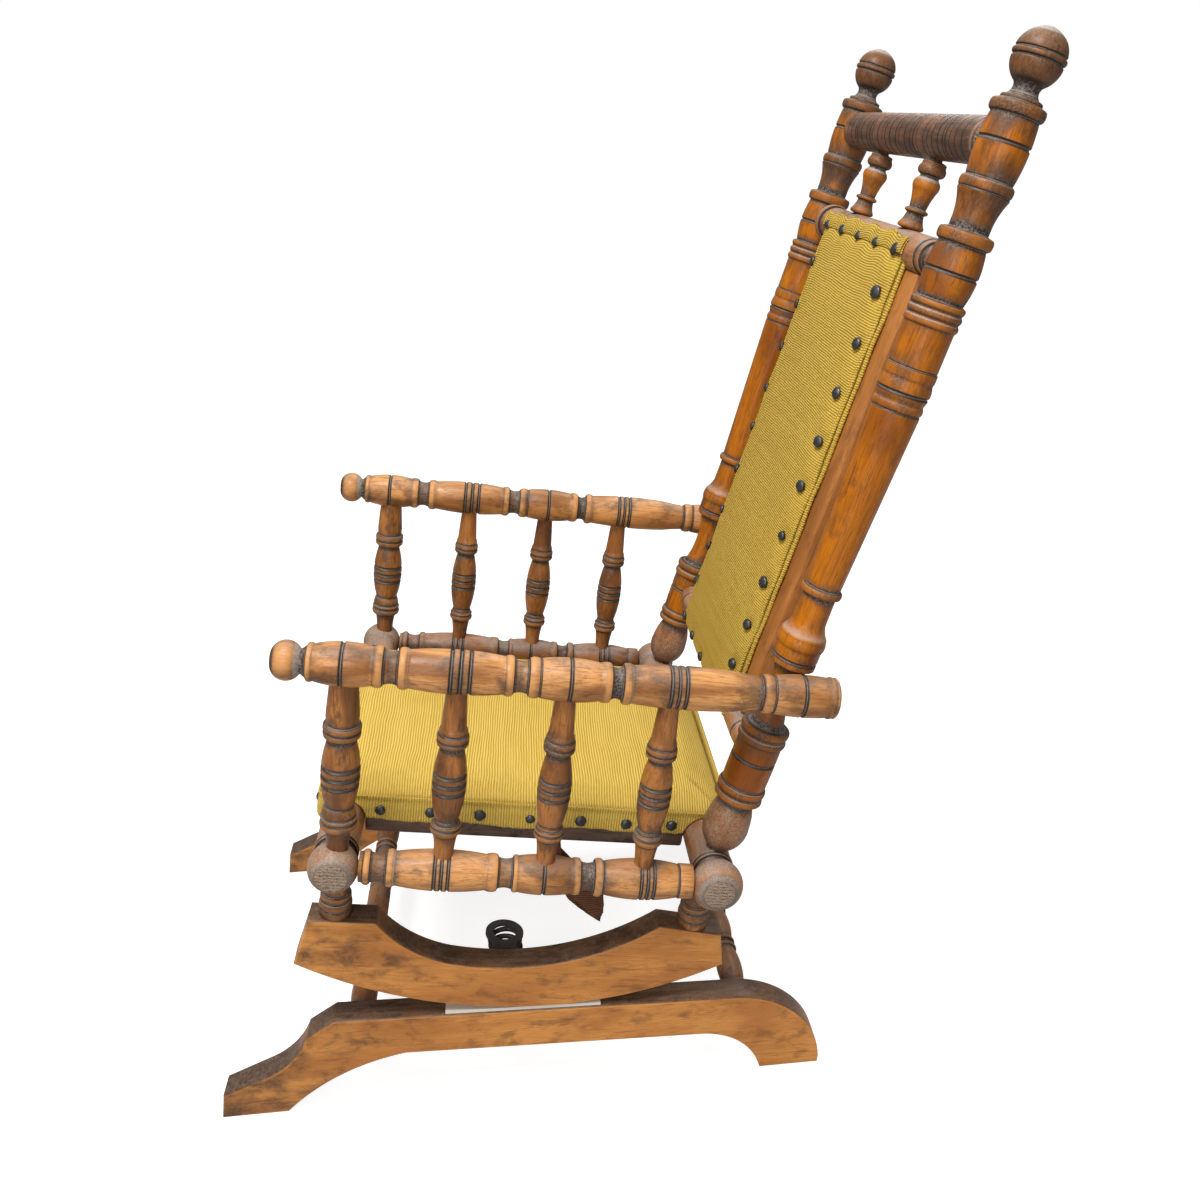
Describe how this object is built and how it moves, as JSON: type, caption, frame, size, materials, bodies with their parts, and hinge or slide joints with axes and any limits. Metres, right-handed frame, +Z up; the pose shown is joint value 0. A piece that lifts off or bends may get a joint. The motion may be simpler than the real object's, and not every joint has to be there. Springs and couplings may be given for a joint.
{
  "type": "platform rocking chair",
  "caption": "Turned-spindle platform rocker with open arms, upholstered seat and back, and a curved rocker on each rail of a sprung base.",
  "frame": {"origin": "centre of the part's bounding box on the floor", "axes": "+Z up, +X towards the sitter's left, +Y towards the back of the chair"},
  "size_m": [0.55, 0.8086, 1.0432],
  "materials": {
    "board_wood": "satin",
    "turned_wood": "satin",
    "dark_turned_wood": "satin",
    "frame_wood": "matte",
    "upholstery": "matte",
    "webbing": "matte",
    "felt": "matte",
    "tacks": "satin",
    "iron": "matte"
  },
  "bodies": {
    "platform": {"base_rail_left": "board_wood", "base_rail_right": "board_wood", "base_stretcher_front": "dark_turned_wood", "base_stretcher_rear": "dark_turned_wood", "coil_spring_left": "iron", "coil_spring_right": "iron", "spring_foot_iron_left": "iron", "spring_foot_iron_right": "iron", "spring_foot_screws": "iron", "wear_strip_left": "felt", "wear_strip_right": "felt"},
    "chair": {"arm_dowels": "dark_turned_wood", "arm_left": "turned_wood", "arm_right": "turned_wood", "arm_spindle_left_1": "turned_wood", "arm_spindle_left_2": "turned_wood", "arm_spindle_left_3": "turned_wood", "arm_spindle_right_1": "turned_wood", "arm_spindle_right_2": "turned_wood", "arm_spindle_right_3": "turned_wood", "back_bottom_rail": "dark_turned_wood", "back_lining": "webbing", "back_pad": "upholstery", "back_post_left": "dark_turned_wood", "back_post_right": "dark_turned_wood", "back_stile_left": "dark_turned_wood", "back_stile_right": "dark_turned_wood", "back_tacks": "tacks", "back_top_rail": "dark_turned_wood", "crest_rail": "dark_turned_wood", "crest_spindle_left": "dark_turned_wood", "crest_spindle_right": "dark_turned_wood", "front_cross_rail": "dark_turned_wood", "front_leg_left": "dark_turned_wood", "front_leg_right": "dark_turned_wood", "front_post_left": "turned_wood", "front_post_right": "turned_wood", "loose_webbing": "webbing", "lower_side_rail_left": "turned_wood", "lower_side_rail_right": "turned_wood", "rear_cross_rail": "dark_turned_wood", "rear_leg_left": "dark_turned_wood", "rear_leg_right": "dark_turned_wood", "rocker_board_left": "board_wood", "rocker_board_right": "board_wood", "seat_front_board": "frame_wood", "seat_pad": "upholstery", "seat_rear_board": "frame_wood", "seat_side_board_left": "frame_wood", "seat_side_board_right": "frame_wood", "seat_tacks": "tacks", "seat_webbing": "webbing", "spring_head_iron_left": "iron", "spring_head_iron_right": "iron", "spring_head_screws": "iron"}
  },
  "joints": [
    {"name": "rock", "type": "hinge", "parent": "platform", "child": "chair", "pos_m": [0, -0.03932, 0.1141], "axis": [1, 0, 0], "range_deg": [-8, 5], "stiffness_Nm_per_rad": 150, "springref_deg": 3.15, "deforming": ["coil_spring_left", "coil_spring_right", "wear_strip_left", "wear_strip_right"]}
  ]
}
